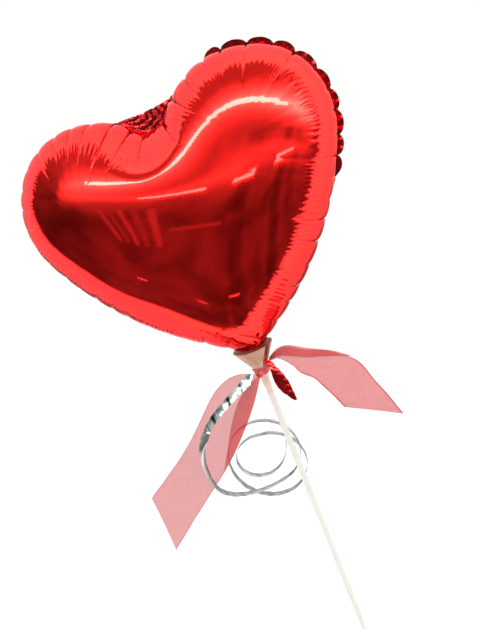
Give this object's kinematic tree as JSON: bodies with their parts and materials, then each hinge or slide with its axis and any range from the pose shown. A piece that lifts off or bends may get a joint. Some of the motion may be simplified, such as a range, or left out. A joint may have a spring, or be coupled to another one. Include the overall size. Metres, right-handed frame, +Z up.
{
  "type": "foil balloon on stick",
  "caption": "Heart-shaped foil balloon sitting in a cup on a hollow stick, tied with organza tails and a curling ribbon.",
  "frame": {"origin": "centre of the stick's lower end", "axes": "+Z up along the stick, the heart's front faces -Y, +X to the right as seen from the front"},
  "size_m": [0.1966, 0.093, 0.3859],
  "materials": {
    "stick_plastic": "satin off-white tube",
    "cup_plastic": "milky moulded plastic",
    "red_foil": "metallised red film with a glossy clear face",
    "valve_film": "thin clear film",
    "organza": "sheer woven ribbon with a denser edge",
    "silver_ribbon": "mirror-like metallised ribbon"
  },
  "bodies": {
    "stick": {"stick": "stick_plastic"},
    "cup": {"cup": "cup_plastic", "organza_tie": "organza", "foil_neck_tail": "red_foil"},
    "balloon": {"front_panel": "red_foil", "rear_panel": "red_foil", "filling_valve": "valve_film"},
    "left_tail": {"organza_left_tail": "organza"},
    "right_tail": {"organza_right_tail": "organza"},
    "curl": {"curling_ribbon": "silver_ribbon"}
  },
  "joints": [
    {"name": "cup_pull_off", "type": "slide", "parent": "stick", "child": "cup", "axis": [0, 0, 1], "range_m": [0, 0.02]},
    {"name": "balloon_nod", "type": "hinge", "parent": "cup", "child": "balloon", "pos_m": [0, 0, 0.2255], "axis": [1, 0, 0], "range_deg": [-12, 12], "stiffness_Nm_per_rad": 0.02},
    {"name": "left_tail_swing", "type": "hinge", "parent": "cup", "child": "left_tail", "pos_m": [-0.0006, -0.0084, 0.2035], "axis": [0, 1, 0], "range_deg": [0, 20], "stiffness_Nm_per_rad": 0.002},
    {"name": "right_tail_swing", "type": "hinge", "parent": "cup", "child": "right_tail", "pos_m": [0.0095, 0.0015, 0.2095], "axis": [0, 1, 0], "range_deg": [-10, 8], "stiffness_Nm_per_rad": 0.002},
    {"name": "curl_swing", "type": "hinge", "parent": "cup", "child": "curl", "pos_m": [-0.0006, -0.0115, 0.2035], "axis": [0, 1, 0], "range_deg": [-8, 0], "stiffness_Nm_per_rad": 0.002}
  ]
}
